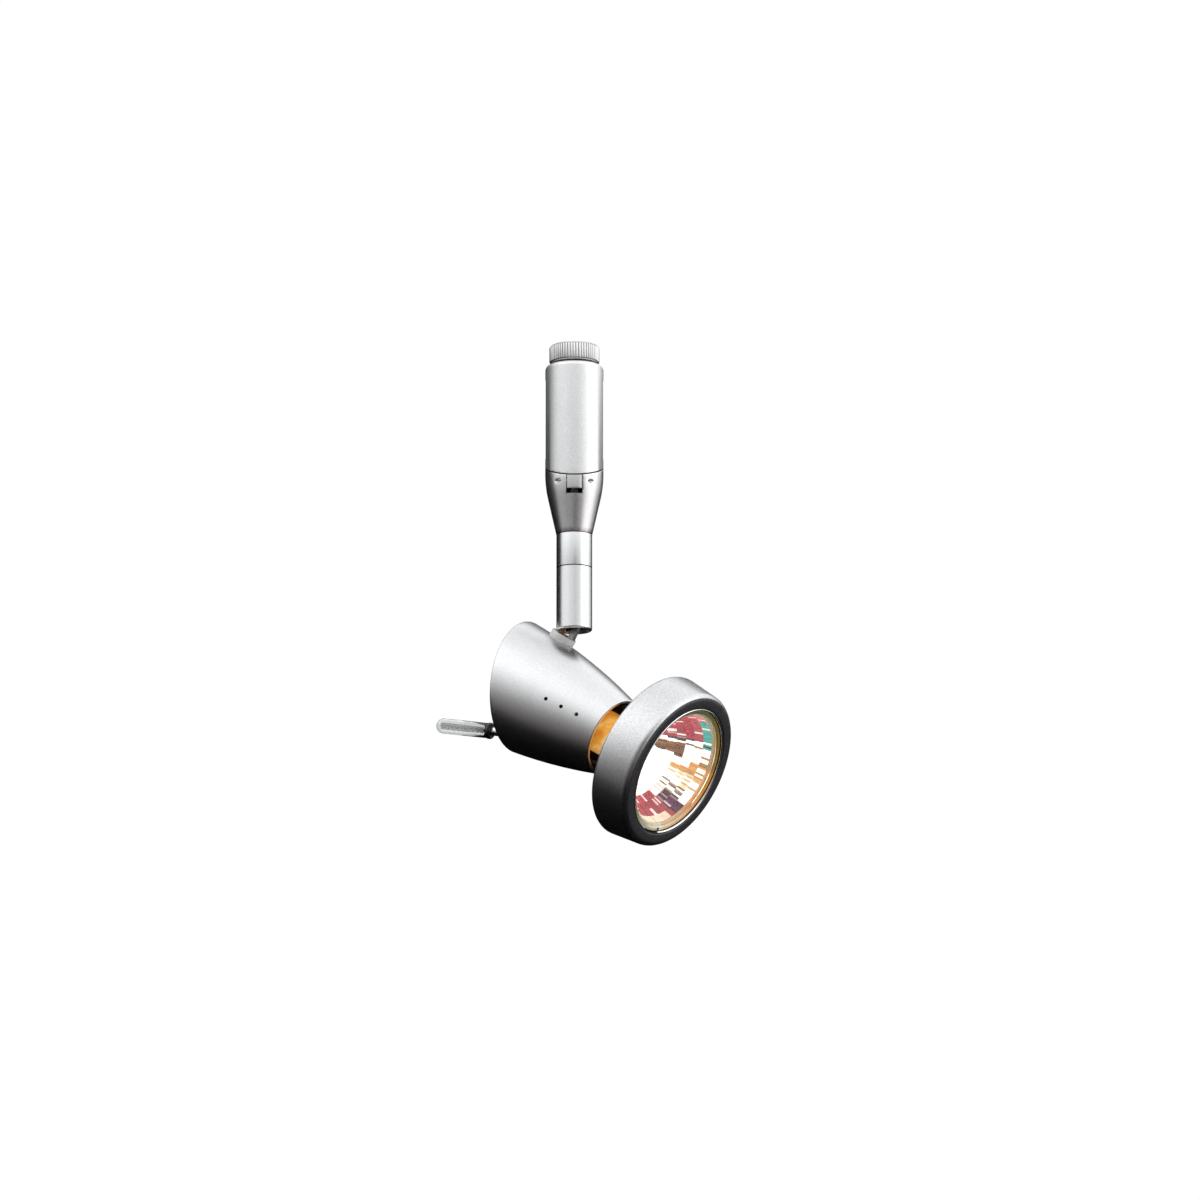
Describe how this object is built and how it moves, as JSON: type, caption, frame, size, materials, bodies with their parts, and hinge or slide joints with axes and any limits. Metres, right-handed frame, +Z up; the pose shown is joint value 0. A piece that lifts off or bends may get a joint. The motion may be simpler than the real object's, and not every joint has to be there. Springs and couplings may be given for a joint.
{
  "type": "track spotlight",
  "caption": "Small spotlight with a clamp-on rail adapter, a turning stem and a tilting conical lamp head with a wide front ring and an aiming handle.",
  "frame": {"origin": "on the stem axis, at the seat that the rail's lower edge rests on", "axes": "+Z up along the stem axis, out of the rail seat; the rail runs along X; the hinged front shell faces -Y"},
  "size_m": [0.1134, 0.0833, 0.1996],
  "materials": {
    "silver_paint": "satin metallic silver-grey paint",
    "ring_paint": "slightly coarse metallic grey paint, charcoal on the flat face",
    "knurled_aluminium": "satin knurled",
    "bright_steel": "bright zinc or nickel finish",
    "black_steel": "black matt paint",
    "spring_wire": "polished spring wire",
    "brass": "turned brass",
    "copper": "bare copper alloy",
    "black_plastic": "matt moulded",
    "grey_plastic": "matt moulded",
    "ceramic": "glazed steatite ceramic",
    "lead_sleeve": "amber heat-resistant sleeve",
    "black_sleeve": "black heat-resistant sleeve",
    "dull_steel": "dull zinc finish",
    "black_rubber": "moulded ring",
    "clear_glass": "clear",
    "sleeve_glass": "clear, thick-walled",
    "dichroic_glass": "facetted dichroic mirror coating on glass",
    "tungsten": "glowing when lit"
  },
  "bodies": {
    "adapter": {"adapter_body": "silver_paint", "hinge_pin": "bright_steel", "threaded_bush": "brass", "rear_liner": "black_plastic", "terminal_block": "ceramic", "terminal_screws": "brass", "block_screw": "bright_steel", "supply_leads": "black_sleeve", "stem_collar": "silver_paint"},
    "front_shell": {"front_shell": "silver_paint", "contact_carrier": "black_plastic", "contact_upper": "copper", "contact_lower": "copper", "carrier_screws": "bright_steel", "shell_leads": "black_sleeve"},
    "clamp": {"clamp_shoe": "black_plastic"},
    "knob": {"clamp_knob": "knurled_aluminium", "clamp_spindle": "bright_steel", "spindle_clip": "black_steel"},
    "stem": {"stem_tube": "silver_paint", "stem_nipple": "bright_steel", "nipple_nut": "brass", "nipple_washer": "brass", "tube_nut": "brass", "tilt_clevis": "black_steel", "clevis_screw": "black_steel", "tilt_pin": "bright_steel", "friction_washers": "black_plastic", "stem_leads": "lead_sleeve"},
    "head": {"tilt_link": "dull_steel", "link_screw": "black_steel", "swivel_collar": "grey_plastic", "lead_nipple": "bright_steel", "nipple_nuts": "brass", "lamp_housing": "silver_paint", "rear_cover": "silver_paint", "cover_screws": "bright_steel", "handle_rod": "bright_steel", "handle_nut": "brass", "handle_ring": "black_rubber", "handle_sleeve": "sleeve_glass", "strut_upper": "black_steel", "strut_lower": "black_steel", "strut_screws": "bright_steel", "holder_plate": "black_steel", "plate_screws": "bright_steel", "lampholder": "ceramic", "holder_screws": "bright_steel", "head_leads": "lead_sleeve", "front_ring": "ring_paint", "retaining_clip": "spring_wire", "lamp_reflector": "dichroic_glass", "lamp_front_glass": "clear_glass", "lamp_burner": "clear_glass", "lamp_filament": "tungsten", "lamp_base": "ceramic", "lamp_pins": "bright_steel"}
  },
  "joints": [
    {"name": "front_shell_hinge", "type": "hinge", "parent": "adapter", "child": "front_shell", "pos_m": [0, -0.0089, -0.0106], "axis": [1, 0, 0], "range_deg": [0, 80]},
    {"name": "clamp_travel", "type": "slide", "parent": "adapter", "child": "clamp", "axis": [0, 0, 1], "range_m": [0, 0.003]},
    {"name": "knob_turn", "type": "hinge", "parent": "clamp", "child": "knob", "pos_m": [0, 0, 0.0414], "axis": [0, 0, 1], "range_deg": [0, 1080]},
    {"name": "stem_pan", "type": "hinge", "parent": "adapter", "child": "stem", "pos_m": [0, 0, -0.0431], "axis": [0, 0, 1], "range_deg": [-175, 175]},
    {"name": "head_tilt", "type": "hinge", "parent": "stem", "child": "head", "pos_m": [0, 0, -0.0623], "axis": [0.5, 0.866, 0], "range_deg": [-40, 60]}
  ],
  "couplings": [
    {"joint": "knob_turn", "follows": "clamp_travel", "rad_per_m": 6283.2}
  ]
}
